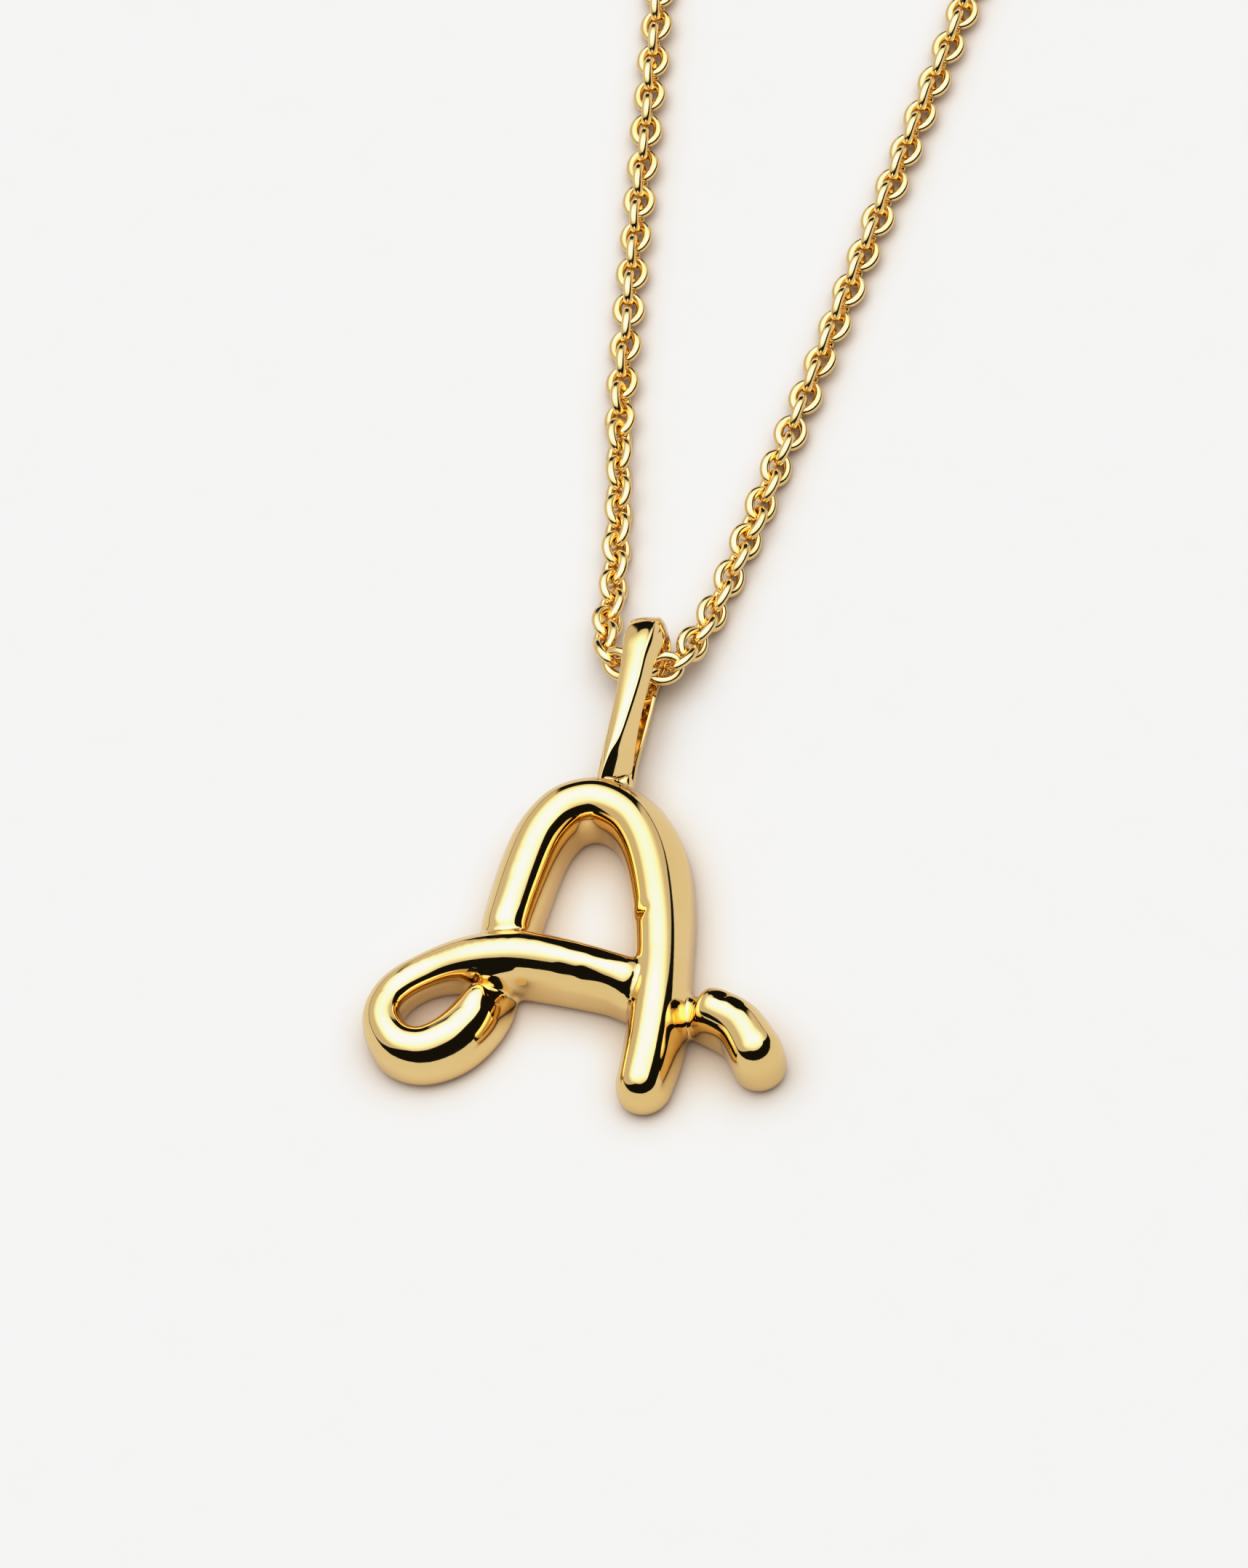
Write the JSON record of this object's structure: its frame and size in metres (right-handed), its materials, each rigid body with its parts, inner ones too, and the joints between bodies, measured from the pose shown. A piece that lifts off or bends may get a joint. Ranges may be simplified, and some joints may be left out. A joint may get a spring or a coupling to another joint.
{
  "type": "initial pendant on a cable chain",
  "caption": "Letter A drawn as one plump, looped stroke with a soldered bail, on a fine cable chain that closes in a ring clasp, lying flat.",
  "frame": {"origin": "on the letter's flat back, at the middle of its crossbar", "axes": "+X to the letter's right, +Y up the letter towards its bail and chain, +Z out of its front, up from the surface it lies on"},
  "size_m": [0.0626, 0.2248, 0.0032],
  "materials": {
    "letter_gold": "mirror-polished yellow gold plate",
    "chain_gold": "polished yellow gold plate"
  },
  "bodies": {
    "root": {"pendant": "letter_gold", "chain": "chain_gold", "clasp": "chain_gold"}
  },
  "joints": []
}
